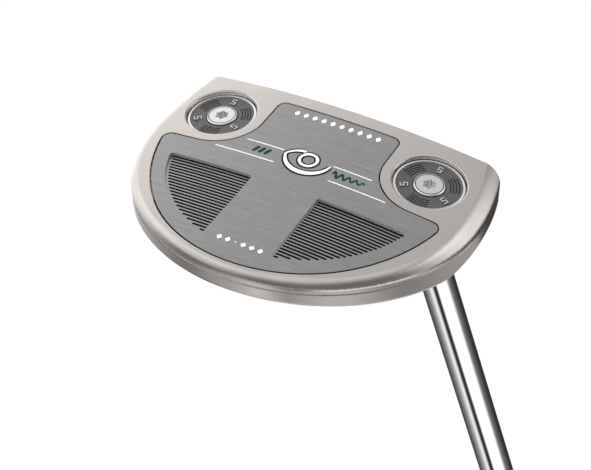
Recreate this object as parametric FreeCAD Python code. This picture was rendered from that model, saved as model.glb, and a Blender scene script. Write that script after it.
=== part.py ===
"""Mallet putter: milled head with a slotted sole plate and two sole weights, shaft and pistol grip.

Frame: millimetres, +Z up, putter at address. The origin is where the middle of the sole touches
the ground. The face looks along -Y, the heel is +X, the toe is -X and the shaft leans to +X.
"""
import FreeCAD
import Part
import math
import os

V = FreeCAD.Vector

# ---- driving dimensions: head ----
FACE_Y = -27.8          # leading edge of the face
LOFT_DEG = 3.0          # the face leans back by this much
OUT_R = 50.0            # round back of the outline
OUT_CY = -6.5           # and where its centre lies along Y
SIDE_R = 76.0           # gentler curve of the toe and heel sides, from OUT_CY to the face
CAMBER_R = 341.0        # the sole is curved from toe to heel, never from face to back
CROWN_R = 117.0         # the top line is curved from toe to heel
FACE_H = 24.0           # height of the face at its middle
BAR_BACK_Y = -15.0      # the bar behind the face ends here
RIDGE_BACK_Z = 8.05     # height of the outer ridge at the very back
RIDGE_SLOPE = 0.178     # and how fast it rises towards the face
COVE_R = 3.0            # hollow corner between the face bar and the ridge
SOLE_EDGE_R = 2.8       # rounding of the sole's edge at the very back
SOLE_QUARTER_R = 4.3    # where the round back has turned by QUARTER_DEG
SOLE_SIDE_R = 6.1       # at the widest part of the head
SOLE_CORNER_R = 7.2     # and just in front of the face corners
QUARTER_DEG = 32
SOLE_CREASE = 0.15      # the rounding is milled this deep into the sole, so it starts with a faint crease
GROOVE_UP = 3.6         # a fine groove runs round the back wall, this far above the sole
GROOVE_W = 0.62
GROOVE_DEEP = 0.3       # at the very back; it dies out at the heel and toe
TOP_EDGE_R = 1.2        # softened upper edges

# ---- driving dimensions: sole plate and its pocket ----
PLATE_T = 3.0
FILM_T = 0.25
PLATE_GAP = 0.42        # between the plate and its pocket, all round
PLATE_EDGE = 0.15       # small bevel on the plate's and the pocket's edges
PLATE_FRONT_Y = -23.2
PLATE_BACK_R = 40.0     # round back of the plate, centred at PLATE_BACK_CY
PLATE_BACK_CY = 0.77
PLATE_JOIN_DEG = 43.3   # where the round back runs on into the gentler edge of the wing
PLATE_WING_R = 51.8
PLATE_CORNER_R = 2.2
SCALLOP_R = 13.8        # the plate is scalloped round each weight
SLOT_COUNT = 22         # in each of the two patches
SLOT_PITCH = 1.155
SLOT_W = 0.66
SLOT_FIRST_Y = 9.55
SLOT_IN_X = 10.2
SLOT_CY = -0.9          # the slots' outer ends and the recesses' outer edges are arcs about this point
SLOT_R = 36.6
PATCH_DEEP = 0.9        # the slots stand in two recesses, this deep at the front
PATCH_FRONT_Y = 9.1
PATCH_BACK_Y = 36.0     # and run out to nothing here
PATCH_IN_X = 9.9
PATCH_R = 37.4
PATCH_CORNER_R = 0.9

# ---- driving dimensions: weights ----
WEIGHT_X = 32.53
WEIGHT_Y = -12.4
WEIGHT_R = 9.95
WEIGHT_SUNK = 1.25      # the weight's rim lies this far below the sole
WEIGHT_T = 4.2
WEIGHT_BEVEL = 0.2
RIM_W = 0.72
FACE_SUNK = 0.35        # the dark ring face lies below the bright rim
POCKET_R = 10.15
MOUTH_R = 0.55          # rounding of the pocket's mouth
SCREW_HEAD_R = 4.4
SCREW_HEAD_T = 1.7
SCREW_PROUD = 0.15      # the head stands this far above the weight's rim
SCREW_BEVEL = 0.25
HEAD_GROOVE_R = 3.72    # a fine ring groove round the screw's head: its inner radius, width and depth
HEAD_GROOVE_W = 0.24
HEAD_GROOVE_DEEP = 0.3
SEAT_CLEAR = 0.2        # round the head, in the weight's counterbore
HOLE_CLEAR = 0.3        # round the shank, in the weight's hole
RING_THICK = 0.5        # of the captive rubber ring, as a radius
RING_ROOM_R = 3.9       # room for that ring in the weight's underside
RING_ROOM_DEEP = 1.4
BAND_GROUPS = (90, 210, 330)        # where the groups of grooves in the ring face stand, in degrees
BAND_COUNT = 4
BAND_FIRST_R = 5.9
BAND_PITCH = 0.78
BAND_HALF_W = 0.16
BAND_DEEP = 0.25
BAND_HALF_DEG = 27      # the innermost groove reaches this far to each side
BAND_STEP_DEG = 2       # and each further one this much less
NUMERAL_DEG = (-90, 30, 150)        # the raised numerals stand between the groups
NUMERAL_W, NUMERAL_H, NUMERAL_T = 1.4, 2.25, 0.3
SCREW_R = 2.5
SCREW_CLEAR = 0.06      # radial, in the tapped hole
SHANK_BEVEL = 0.5
THREAD_DEPTH = 5.8      # of the shank below the weight
TAP_EXTRA = 0.4         # the tapped hole goes on this far past the shank
LOBE_R = 0.62           # hexalobular socket, size 20
LOBE_AT = 1.31
SOCKET_CORE_R = 1.42
SOCKET_DEEP = 1.9

# ---- driving dimensions: crown cavity, neck ----
CAVITY_INSET = 2.2      # the crown cavity repeats the plate's outline, this far inside it
WEB_T = 2.0             # metal left between plate pocket and crown cavity
BAR_POCKET = (-17.0, 7.5, -20.8, -10.5)     # lightening pocket in the bar, under the sole plate
BAR_POCKET_Z = 17.0
BAR_POCKET_R = 2.5      # its upright corners
BAR_SKIN = 1.6          # metal left between it and the crown cavity
SIGHT_W = 1.5
SIGHT_DEEP = 0.4
SIGHT_FRONT_Y = -13.0
SIGHT_LENGTH = 52.0
NECK_X = 13.5
NECK_Y = -19.2
NECK_FOOT_R = 5.9
NECK_FOOT_DEEP = 4.0    # the stem's foot reaches this far into the curve of the crown
NECK_BEND = 9.0         # straight run at each end of the stem, before it bends
NECK_WAIST = 0.35       # the stem is this much thinner in the middle
NECK_LEAN = 0.9
SPIGOT_R = 4.0
SPIGOT_CLEAR = 0.03     # radial, and at its end
SPIGOT_BOTTOM_Z = 13.0
NECK_SCREW_R = 2.0
NECK_SCREW_HEAD_R = 3.5
NECK_SCREW_HEAD_Z = 4.2
NECK_SCREW_HEAD_T = 4.0
NECK_SCREW_BITE = 7.0   # length of thread in the spigot
NECK_TAP_DEEP = 7.9
NECK_HOLE_CLEAR = 0.15
NECK_HEAD_CLEAR = 0.2
KEY_FLATS = 3.0         # hexagon socket of the neck screw, across flats
KEY_DEEP = 2.2
FILM_INSET = 0.6        # the adhesive stays this far inside the plate's edge and off the screw's hole

# ---- driving dimensions: shaft and grip, measured along the shaft's axis from the ground ----
LIE_DEG = 71.38
SHAFT_X0 = 13.2         # where the axis meets the ground
SHAFT_Y = -27.2
LENGTH = 889.0          # 35 in
TIP_S = 41.0
SHAFT_TIP_R = 5.2
SHAFT_BUTT_R = 7.6
TAPER_S = 190.0         # parallel up to here
SHAFT_WALL = 0.75
POST_R = 4.40
POST_END_S = 68.0
POST_BEVEL = 0.6
GRIP_S = 622.0
CAP_T = 7.6
TAPE_T = 0.25
VENT_R = 1.6

AXIS = V(math.cos(math.radians(LIE_DEG)), 0, math.sin(math.radians(LIE_DEG)))
GROUND = V(SHAFT_X0, SHAFT_Y, 0)


# ---- small helpers ----
def on_axis(s):
    """The point of the shaft's axis at distance s from the ground."""
    return GROUND + AXIS * s


def prism(wire, z0, z1):
    face = Part.Face(wire)
    face.translate(V(0, 0, z0))
    return face.extrude(V(0, 0, z1 - z0))


def line(a, b):
    return Part.LineSegment(a, b).toShape()


def arc(a, mid, b):
    return Part.Arc(a, mid, b).toShape()


def mirror_x(shape):
    return shape.mirror(V(0, 0, 0), V(1, 0, 0))


def camber_cylinder(up):
    """Everything above the sole's curved surface raised by up."""
    radius = CAMBER_R - up
    return Part.makeCylinder(radius, 200, V(0, -100, CAMBER_R), V(0, 1, 0))


def crown_cylinder():
    """Everything below the curved top of the face bar."""
    return Part.makeCylinder(CROWN_R, 200, V(0, -100, FACE_H - CROWN_R), V(0, 1, 0))


def above_sole(point):
    """Height of a point above the sole's curved surface, near the middle of the head."""
    return point.z - point.x ** 2 / (2 * CAMBER_R)


def upright_edges(solid):
    return [edge for edge in solid.Edges if abs(edge.tangentAt(edge.FirstParameter).z) > 0.99]


def arc_about(cx, cy, radius, deg0, deg1):
    """An arc about (cx, cy) from one angle to the other."""
    def at(deg):
        rad = math.radians(deg)
        return V(cx + radius * math.cos(rad), cy + radius * math.sin(rad), 0)
    return arc(at(deg0), at((deg0 + deg1) / 2), at(deg1))


def closed_wire(half):
    """A closed outline from its +X half, given from the front middle to the back middle."""
    edges = list(half) + [mirror_x(edge) for edge in half]
    return Part.Wire(Part.__sortEdges__(edges))


# ---- head body ----
def outline_wire(front_y, inset=0.0, shift_y=0.0):
    """Plan outline of the head: flat front, gently curved sides, round back."""
    back_r = OUT_R - inset
    side_r = SIDE_R - inset
    side_cx = OUT_R - SIDE_R
    front_deg = math.degrees(math.asin((front_y - OUT_CY) / side_r))
    side = arc_about(side_cx, OUT_CY, side_r, front_deg, 0)
    quarter = arc_about(0, OUT_CY, back_r, 0, QUARTER_DEG)
    back = arc_about(0, OUT_CY, back_r, QUARTER_DEG, 90)
    front = line(V(0, front_y, 0), side.Vertexes[0].Point)
    wire = closed_wire([front, side, quarter, back])
    wire.translate(V(0, shift_y, 0))
    return wire


def plate_half(grow):
    """+X half of the sole plate's outline, grown outwards by grow."""
    corner = max(PLATE_CORNER_R + grow, 1.5)
    scallop = SCALLOP_R - grow
    front_y = PLATE_FRONT_Y - grow
    side_x = WEIGHT_X - scallop
    wing_y = WEIGHT_Y + scallop
    # the wing's edge arc runs on smoothly from the round back
    join = math.radians(PLATE_JOIN_DEG)
    wing_cx = (PLATE_BACK_R - PLATE_WING_R) * math.cos(join)
    wing_cy = PLATE_BACK_CY + (PLATE_BACK_R - PLATE_WING_R) * math.sin(join)
    wing_r = PLATE_WING_R + grow
    # the wing's corner arc touches the straight edge and, from inside, the edge arc
    corner_y = wing_y + corner
    corner_x = wing_cx + math.sqrt((wing_r - corner) ** 2 - (corner_y - wing_cy) ** 2)
    touch_deg = math.degrees(math.atan2(corner_y - wing_cy, corner_x - wing_cx))
    return [
        line(V(0, front_y, 0), V(side_x - corner, front_y, 0)),
        arc_about(side_x - corner, front_y + corner, corner, -90, 0),
        line(V(side_x, front_y + corner, 0), V(side_x, WEIGHT_Y, 0)),
        arc_about(WEIGHT_X, WEIGHT_Y, scallop, 180, 90),
        line(V(WEIGHT_X, wing_y, 0), V(corner_x, wing_y, 0)),
        arc_about(corner_x, corner_y, corner, -90, touch_deg),
        arc_about(wing_cx, wing_cy, wing_r, touch_deg, PLATE_JOIN_DEG),
        arc_about(0, PLATE_BACK_CY, PLATE_BACK_R + grow, PLATE_JOIN_DEG, 90),
    ]


def plate_prism(grow, z0, z1):
    return prism(closed_wire(plate_half(grow)), z0, z1)


def weight_frame(side):
    """Placement whose origin is on the sole over a weight and whose +Z points into the head."""
    tilt = math.asin(WEIGHT_X / CAMBER_R)
    point = V(side * WEIGHT_X, WEIGHT_Y, CAMBER_R * (1 - math.cos(tilt)))
    return FreeCAD.Placement(point, FreeCAD.Rotation(V(0, 1, 0), -side * math.degrees(tilt)))


def placed(shape, side):
    copy = shape.copy()
    copy.Placement = weight_frame(side).multiply(copy.Placement)
    return copy


def sole_round_at(y):
    """Radius of the sole's rounding at the ends of the outline's stretches, told apart by their y."""
    if y < OUT_CY - 1:
        return SOLE_CORNER_R
    if y < OUT_CY + 1:
        return SOLE_SIDE_R
    return SOLE_QUARTER_R if y < OUT_CY + 0.9 * OUT_R else SOLE_EDGE_R


def rounded_sole_edge(body):
    """Round the sole's outer edge, more towards the face corners than at the back."""
    doc = FreeCAD.newDocument("sole")
    base = doc.addObject("Part::Feature", "base")
    base.Shape = body
    picks = []
    for number, edge in enumerate(body.Edges, 1):
        mid = edge.valueAt((edge.FirstParameter + edge.LastParameter) / 2)
        at_sole = abs(above_sole(mid) + SOLE_CREASE) < 0.1
        if not at_sole or mid.y < FACE_Y - 1:
            continue
        radii = [sole_round_at(edge.valueAt(end).y) for end in (edge.FirstParameter, edge.LastParameter)]
        picks.append((number, radii[0], radii[1]))
    fillet = doc.addObject("Part::Fillet", "fillet")
    fillet.Base = base
    fillet.Edges = picks
    doc.recompute()
    result = fillet.Shape.copy()
    FreeCAD.closeDocument(doc.Name)
    return result.Solids[0]


def back_groove():
    """Fine groove round the back wall, which dies out towards the heel and toe."""
    past = Part.makeCylinder(OUT_R + 5, 60, V(0, OUT_CY, -10))
    inner = Part.makeCylinder(OUT_R, 60, V(0, OUT_CY - GROOVE_DEEP, -10))
    front = Part.makeBox(200, 100, 60, V(-100, OUT_CY + 4 - 100, -10))
    ring = past.cut(inner).cut(front)
    return ring.common(camber_cylinder(GROOVE_UP).cut(camber_cylinder(GROOVE_UP + GROOVE_W)))


def ridge_z(y):
    """Height of the ridge behind the face bar."""
    return RIDGE_BACK_Z + RIDGE_SLOPE * (OUT_CY + OUT_R - y)


def crown_waste():
    """What is milled away above the sloping ridge, behind the face bar."""
    end_y = 70.0
    top_z = 60.0
    # the cove's arc leaves the bar's upright back and ends where its tangent has the ridge's slope
    turn = math.atan(RIDGE_SLOPE)
    centre_y = BAR_BACK_Y + COVE_R
    centre_z = ridge_z(centre_y) + COVE_R / math.cos(turn)

    def at(angle):
        return V(-80, centre_y - COVE_R * math.cos(angle), centre_z - COVE_R * math.sin(angle))
    last = math.pi / 2 + turn
    corners = [V(-80, end_y, ridge_z(end_y)), V(-80, end_y, top_z), V(-80, BAR_BACK_Y, top_z)]
    edges = [
        arc(at(0), at(last / 2), at(last)),
        line(at(last), corners[0]),
        line(corners[0], corners[1]),
        line(corners[1], corners[2]),
        line(corners[2], at(0)),
    ]
    return Part.Face(Part.Wire(edges)).extrude(V(160, 0, 0))


def crown_cavity():
    """Half-moon cavity in the crown, inside the plate's outline; its floor follows the camber."""
    tool = plate_prism(-CAVITY_INSET, -5, 60).cut(Part.makeBox(200, 200, 100, V(-100, BAR_BACK_Y - 200, -10)))
    return tool.common(camber_cylinder(PLATE_T + FILM_T + WEB_T))


def bar_pocket():
    """Lightening pocket milled up into the face bar from under the sole plate."""
    x0, x1, y0, y1 = BAR_POCKET
    box = Part.makeBox(x1 - x0, y1 - y0, BAR_POCKET_Z, V(x0, y0, 0))
    box = box.makeFillet(BAR_POCKET_R, upright_edges(box))
    cavity_side = Part.makeBox(x1 - x0, 20, 40, V(x0, BAR_BACK_Y - BAR_SKIN, PLATE_T + FILM_T + 0.1))
    return box.cut(cavity_side)


def weight_pocket():
    """Pocket and tapped hole for one weight, in the weight's own frame."""
    pocket_deep = WEIGHT_SUNK + WEIGHT_T
    pocket = Part.makeCylinder(POCKET_R, pocket_deep + 3, V(0, 0, -3))
    tapped = Part.makeCylinder(SCREW_R + SCREW_CLEAR, pocket_deep + THREAD_DEPTH + TAP_EXTRA)
    return pocket.fuse(tapped)


def try_fillet(body, radius, picks, what):
    """Fillet the picked edges together; keep the body as it is where that can't be done."""
    if not picks:
        print("no edges for", what)
        return body
    try:
        done = body.makeFillet(radius, picks)
        if done.isValid() and len(done.Solids) == 1:
            return done.Solids[0]
    except Exception as error:
        print("fillet left out:", what, error)
        return body
    print("fillet not valid:", what)
    return body


def edge_mid(edge):
    return edge.valueAt((edge.FirstParameter + edge.LastParameter) / 2)


def make_head():
    block = prism(outline_wire(FACE_Y - 4), -3, 45)
    body = rounded_sole_edge(block.common(camber_cylinder(-SOLE_CREASE)).common(crown_cylinder()))
    body = body.common(camber_cylinder(0))
    body = body.cut(crown_waste())
    loft_cut = Part.makeBox(200, 60, 120, V(-100, -60, -40))
    loft_cut.rotate(V(0, 0, 0), V(1, 0, 0), -LOFT_DEG)
    loft_cut.translate(V(0, FACE_Y, 0))
    body = body.cut(loft_cut)
    top_edges = []
    for edge in body.Edges:
        mid = edge_mid(edge)
        out = math.hypot(mid.x, mid.y - OUT_CY)
        on_ridge = abs(mid.z - ridge_z(mid.y)) < 0.3 and out > OUT_R - 1 and mid.y > 0
        if on_ridge:
            top_edges.append(edge)
    body = try_fillet(body, TOP_EDGE_R, top_edges, "ridge")
    body = body.cut(back_groove())
    body = body.cut(crown_cavity())
    pocket = plate_prism(PLATE_GAP, -5, 30).cut(camber_cylinder(PLATE_T + FILM_T))
    body = body.cut(pocket)
    rim_face = Part.Face(closed_wire(plate_half(PLATE_GAP)))
    pocket_rim = []
    for edge in body.Edges:
        mid = edge_mid(edge)
        inside = rim_face.isInside(V(mid.x, mid.y, 0), 0.05, True)
        if inside and abs(above_sole(mid)) < 0.02:
            pocket_rim.append(edge)
    body = try_fillet(body, PLATE_EDGE, pocket_rim, "plate pocket rim")
    body = body.cut(bar_pocket())
    for side in (-1, 1):
        body = body.cut(placed(weight_pocket(), side))
    mouths = []
    for edge in body.Edges:
        mid = edge_mid(edge)
        local = weight_frame(1 if mid.x > 0 else -1).inverse().multVec(mid)
        near_mouth = abs(local.z) < 0.4 and abs(math.hypot(local.x, local.y) - POCKET_R) < 0.2
        if near_mouth:
            mouths.append(edge)
    body = try_fillet(body, MOUTH_R, mouths, "weight pocket mouths")
    sight = Part.makeBox(SIGHT_W, SIGHT_LENGTH, 30, V(-SIGHT_W / 2, SIGHT_FRONT_Y, 0))
    sight = sight.common(camber_cylinder(PLATE_T + FILM_T + WEB_T - SIGHT_DEEP))
    body = body.cut(sight)
    socket = Part.makeCylinder(SPIGOT_R + SPIGOT_CLEAR, 40, V(NECK_X, NECK_Y, SPIGOT_BOTTOM_Z))
    screw_hole = Part.makeCylinder(NECK_SCREW_R + NECK_HOLE_CLEAR, 40, V(NECK_X, NECK_Y, 0))
    head_room = NECK_SCREW_HEAD_Z + NECK_SCREW_HEAD_T
    counterbore = Part.makeCylinder(NECK_SCREW_HEAD_R + NECK_HEAD_CLEAR, head_room, V(NECK_X, NECK_Y, 0))
    body = body.cut(socket.fuse([screw_hole, counterbore]))
    return body.Solids[0]


# ---- sole plate ----
def slot(y):
    """One rounded slot of the +X patch, cut right through."""
    end_x = math.sqrt(SLOT_R ** 2 - (y - SLOT_CY) ** 2)
    r = SLOT_W / 2
    a, b = SLOT_IN_X + r, end_x - r
    wire = Part.Wire([
        line(V(a, y - r, 0), V(b, y - r, 0)),
        arc(V(b, y - r, 0), V(b + r, y, 0), V(b, y + r, 0)),
        line(V(b, y + r, 0), V(a, y + r, 0)),
        arc(V(a, y + r, 0), V(a - r, y, 0), V(a, y - r, 0)),
    ])
    return prism(wire, -3, 20)


def patch():
    """Recess round the +X patch of slots: deep at the front, running out to nothing at the back."""
    front_deg = math.degrees(math.asin((PATCH_FRONT_Y - SLOT_CY) / PATCH_R))
    back_deg = math.degrees(math.acos(PATCH_IN_X / PATCH_R))
    outer = arc_about(0, SLOT_CY, PATCH_R, front_deg, back_deg)
    front_end, back_end = outer.Vertexes[0].Point, outer.Vertexes[1].Point
    corner = V(PATCH_IN_X, PATCH_FRONT_Y, 0)
    solid = prism(Part.Wire([line(corner, front_end), outer, line(back_end, corner)]), -3, 20)
    solid = solid.makeFillet(PATCH_CORNER_R, upright_edges(solid))
    floor = camber_cylinder(0)
    fall_deg = math.degrees(math.atan(PATCH_DEEP / (PATCH_BACK_Y - PATCH_FRONT_Y)))
    floor.rotate(V(0, PATCH_BACK_Y, 0), V(1, 0, 0), -fall_deg)
    return solid.cut(floor)


def make_plate():
    plate = plate_prism(0, -3, 20).common(camber_cylinder(0).cut(camber_cylinder(PLATE_T)))
    rim = []
    for edge in plate.Edges:
        if abs(above_sole(edge_mid(edge))) < 0.02:
            rim.append(edge)
    plate = try_fillet(plate, PLATE_EDGE, rim, "plate edge")
    tools = [patch()]
    for i in range(SLOT_COUNT):
        tools.append(slot(SLOT_FIRST_Y + i * SLOT_PITCH))
    tools += [mirror_x(tool) for tool in tools]
    return plate.cut(tools).Solids[0]


def make_film():
    shell = camber_cylinder(PLATE_T).cut(camber_cylinder(PLATE_T + FILM_T))
    film = plate_prism(-FILM_INSET, -3, 20).common(shell)
    hole = Part.makeCylinder(NECK_SCREW_HEAD_R + FILM_INSET, 40, V(NECK_X, NECK_Y, -5))
    return film.cut(hole).Solids[0]


# ---- weights ----
def numeral(deg):
    """A raised numeral 5 of plain strokes, its top pointing outwards at the angle deg."""
    w, h, t = NUMERAL_W, NUMERAL_H, NUMERAL_T
    strokes = [
        (-w / 2, h / 2 - t, w, t),
        (-w / 2, 0.0, t, h / 2),
        (-w / 2, -t / 2, w, t),
        (w / 2 - t, -h / 2, t, h / 2),
        (-w / 2, -h / 2, w, t),
    ]
    solid = None
    for x, y, dx, dy in strokes:
        box = Part.makeBox(dx, dy, FACE_SUNK + WEIGHT_BEVEL, V(x, y, WEIGHT_SUNK))
        solid = box if solid is None else solid.fuse(box)
    solid = mirror_x(solid.removeSplitter())
    solid.translate(V(0, (SCREW_HEAD_R + SEAT_CLEAR + WEIGHT_R - RIM_W) / 2, 0))
    solid.rotate(V(0, 0, 0), V(0, 0, 1), deg - 90)
    return solid


def make_weight():
    """One sole weight in its own frame, +Z into the head."""
    top = WEIGHT_SUNK
    disc = Part.makeCylinder(WEIGHT_R, WEIGHT_T, V(0, 0, top))
    disc = disc.makeChamfer(WEIGHT_BEVEL, [e for e in disc.Edges if abs(edge_mid(e).z - top) < 0.01])
    ring = Part.makeCylinder(WEIGHT_R - RIM_W, FACE_SUNK, V(0, 0, top))
    disc = disc.cut(ring)
    seat = Part.makeCylinder(SCREW_HEAD_R + SEAT_CLEAR, SCREW_HEAD_T, V(0, 0, top))
    hole = Part.makeCylinder(SCREW_R + HOLE_CLEAR, 20, V(0, 0, 0))
    ring_room = Part.makeCylinder(RING_ROOM_R, RING_ROOM_DEEP, V(0, 0, top + WEIGHT_T - RING_ROOM_DEEP))
    disc = disc.cut([seat, hole, ring_room])
    floor_z = top + FACE_SUNK
    grooves = []
    for group_deg in BAND_GROUPS:
        for number in range(BAND_COUNT):
            r = BAND_FIRST_R + BAND_PITCH * number
            half = BAND_HALF_DEG - BAND_STEP_DEG * number
            band = Part.makeCylinder(r + BAND_HALF_W, BAND_DEEP, V(0, 0, floor_z), V(0, 0, 1), 2 * half)
            band = band.cut(Part.makeCylinder(r - BAND_HALF_W, 1, V(0, 0, top)))
            band.rotate(V(0, 0, 0), V(0, 0, 1), group_deg - half)
            grooves.append(band)
    disc = disc.cut(grooves)
    return disc.fuse([numeral(deg) for deg in NUMERAL_DEG]).removeSplitter().Solids[0]


def make_weight_screw():
    """Weight screw: low round head with a fine ring groove and a hexalobular socket."""
    top = WEIGHT_SUNK - SCREW_PROUD
    head = Part.makeCylinder(SCREW_HEAD_R, SCREW_HEAD_T, V(0, 0, top))
    head = head.makeChamfer(SCREW_BEVEL, [e for e in head.Edges if abs(edge_mid(e).z - top) < 0.01])
    ring = Part.makeCylinder(HEAD_GROOVE_R + HEAD_GROOVE_W, HEAD_GROOVE_DEEP, V(0, 0, top))
    ring = ring.cut(Part.makeCylinder(HEAD_GROOVE_R, 1, V(0, 0, top)))
    shank_len = WEIGHT_T - SCREW_HEAD_T + THREAD_DEPTH + SCREW_PROUD
    shank = Part.makeCylinder(SCREW_R, shank_len, V(0, 0, top + SCREW_HEAD_T))
    tip_z = top + SCREW_HEAD_T + shank_len
    shank = shank.makeChamfer(SHANK_BEVEL, [e for e in shank.Edges if abs(edge_mid(e).z - tip_z) < 0.01])
    socket = Part.makeCylinder(SOCKET_CORE_R, SOCKET_DEEP, V(0, 0, top))
    lobes = []
    for number in range(6):
        rad = math.radians(60 * number + 10)
        at = V(LOBE_AT * math.cos(rad), LOBE_AT * math.sin(rad), top)
        lobes.append(Part.makeCylinder(LOBE_R, SOCKET_DEEP, at))
    return head.fuse(shank).cut([ring, socket] + lobes).Solids[0]


def make_screw_ring():
    """Rubber ring on the shank that keeps the screw captive in the weight."""
    return Part.makeTorus(SCREW_R + RING_THICK, RING_THICK, V(0, 0, WEIGHT_SUNK + WEIGHT_T - 0.8))


# ---- neck, shaft ----
def disc_wire(centre, normal, radius):
    return Part.Wire(Part.makeCircle(radius, centre, normal))


def make_neck():
    """Short slanted neck: spigot in the crown, swept-back stem, collar and post."""
    top_z = FACE_H - NECK_X ** 2 / (2 * CROWN_R)
    base = V(NECK_X, NECK_Y, top_z)
    collar = on_axis(TIP_S)
    rise = V(0, 0, 1)
    sections = []
    steps = 6
    for i in range(steps + 1):
        t = i / steps
        # a curve that leaves the crown upright and joins the shaft's axis smoothly
        a, b = base + rise * (t * NECK_BEND), collar - AXIS * ((1 - t) * NECK_BEND)
        blend = t * t * (3 - 2 * t)
        point = a * (1 - blend) + b * blend
        normal = rise * (1 - blend) + AXIS * blend
        lean = math.sin(math.pi * t)
        normal = (normal + (collar - base).normalize() * (NECK_LEAN * lean)).normalize()
        sections.append(disc_wire(point, normal, NECK_FOOT_R * (1 - t) + SHAFT_TIP_R * t - NECK_WAIST * lean))
    foot = Part.makeCylinder(NECK_FOOT_R, NECK_FOOT_DEEP, V(NECK_X, NECK_Y, top_z - NECK_FOOT_DEEP))
    stem = Part.makeLoft(sections, True, False).fuse(foot)
    stem = stem.cut(crown_cylinder())
    spigot_end = V(NECK_X, NECK_Y, SPIGOT_BOTTOM_Z + SPIGOT_CLEAR)
    spigot = Part.makeCylinder(SPIGOT_R, top_z - SPIGOT_BOTTOM_Z, spigot_end)
    post = Part.makeCylinder(POST_R, POST_END_S - TIP_S, collar, AXIS)
    tips = [e for e in post.Edges if e.Closed and (edge_mid(e) - collar).dot(AXIS) > 20]
    post = post.makeChamfer(POST_BEVEL, tips)
    tapped = Part.makeCylinder(NECK_SCREW_R + SCREW_CLEAR, NECK_TAP_DEEP, V(NECK_X, NECK_Y, SPIGOT_BOTTOM_Z))
    solid = stem.fuse([spigot, post]).cut(tapped)
    return solid.Solids[0]


def make_neck_screw():
    head = Part.makeCylinder(NECK_SCREW_HEAD_R, NECK_SCREW_HEAD_T, V(NECK_X, NECK_Y, NECK_SCREW_HEAD_Z))
    shank_z = NECK_SCREW_HEAD_Z + NECK_SCREW_HEAD_T
    length = SPIGOT_BOTTOM_Z + NECK_SCREW_BITE - shank_z
    shank = Part.makeCylinder(NECK_SCREW_R, length, V(NECK_X, NECK_Y, shank_z))
    hexagon = []
    for i in range(7):
        rad = math.radians(60 * i)
        corner = KEY_FLATS / math.sqrt(3)
        hexagon.append(V(NECK_X + corner * math.cos(rad), NECK_Y + corner * math.sin(rad), NECK_SCREW_HEAD_Z))
    key = Part.Face(Part.makePolygon(hexagon)).extrude(V(0, 0, KEY_DEEP))
    return head.fuse(shank).cut(key).removeSplitter().Solids[0]


def shaft_r(s):
    """Outside radius of the shaft: parallel at the tip, then an even taper."""
    butt_s = LENGTH - CAP_T
    if s <= TAPER_S:
        return SHAFT_TIP_R
    return SHAFT_TIP_R + (SHAFT_BUTT_R - SHAFT_TIP_R) * (s - TAPER_S) / (butt_s - TAPER_S)


def tube_between(stations):
    """A solid of revolution about the shaft's axis through (s, radius) stations."""
    points = [V(0, 0, stations[0][0])]
    points += [V(radius, 0, s) for s, radius in stations]
    points.append(V(0, 0, stations[-1][0]))
    points.append(points[0])
    face = Part.Face(Part.makePolygon(points))
    solid = face.revolve(V(0, 0, 0), V(0, 0, 1), 360)
    solid.Placement = FreeCAD.Placement(GROUND, FreeCAD.Rotation(V(0, 0, 1), AXIS))
    return solid


def make_shaft():
    butt_s = LENGTH - CAP_T
    outer = tube_between([(TIP_S, shaft_r(TIP_S)), (TAPER_S, shaft_r(TAPER_S)), (butt_s, shaft_r(butt_s))])
    bore = [(TIP_S - 1, SHAFT_TIP_R - SHAFT_WALL), (TAPER_S, SHAFT_TIP_R - SHAFT_WALL),
            (butt_s + 1, SHAFT_BUTT_R - SHAFT_WALL)]
    return outer.cut(tube_between(bore)).Solids[0]


def make_epoxy():
    """Epoxy in the narrow gap between the neck's post and the shaft's bore."""
    s0, s1 = TIP_S + 0.3, POST_END_S - 1.0
    outer = tube_between([(s0, SHAFT_TIP_R - SHAFT_WALL), (s1, SHAFT_TIP_R - SHAFT_WALL)])
    return outer.cut(tube_between([(s0 - 1, POST_R), (s1 + 1, POST_R)])).Solids[0]


# ---- grip ----
# stations along the grip: distance from the ground, half width, flat front, round back
GRIP_STATIONS = [
    (GRIP_S, 8.1, 7.9, 8.2),
    (636.0, 8.9, 8.4, 9.2),
    (662.0, 10.2, 8.8, 10.8),
    (700.0, 11.1, 9.1, 12.0),
    (760.0, 11.6, 9.4, 13.2),
    (820.0, 11.9, 9.7, 15.2),
    (862.0, 12.3, 10.0, 17.0),
    (LENGTH - CAP_T, 12.4, 10.1, 17.4),
]
FRONT = V(-AXIS.z, 0, AXIS.x)       # the flat front of the grip looks this way
SQUARENESS = 4.2                    # of the front's corners


def grip_point(s, half_width, front, back, angle, grow=0.0):
    """A point of the grip's section: nearly flat in front, round behind."""
    c, q = math.cos(angle), math.sin(angle)
    power = 2 / SQUARENESS if c > 0 else 1.0
    width_power = 2 / (2 + (SQUARENESS - 2) * max(0.0, c) ** 0.5)
    across = (half_width + grow) * math.copysign(abs(q) ** width_power, q)
    depth = (front + grow) * abs(c) ** power if c > 0 else -(back + grow) * abs(c)
    return on_axis(s) + FRONT * depth + V(0, 1, 0) * across


def grip_section(station, grow=0.0):
    s, half_width, front, back = station
    count = 36
    points = []
    for i in range(count):
        points.append(grip_point(s, half_width, front, back, 2 * math.pi * i / count, grow))
    curve = Part.BSplineCurve()
    curve.interpolate(points, PeriodicFlag=True)
    return Part.Wire(curve.toShape())


def make_grip():
    body = Part.makeLoft([grip_section(station) for station in GRIP_STATIONS], True, False)
    bore = tube_between([(GRIP_S - 1, shaft_r(GRIP_S - 1) + TAPE_T), (LENGTH, shaft_r(LENGTH) + TAPE_T)])
    return body.cut(bore).Solids[0]


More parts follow.
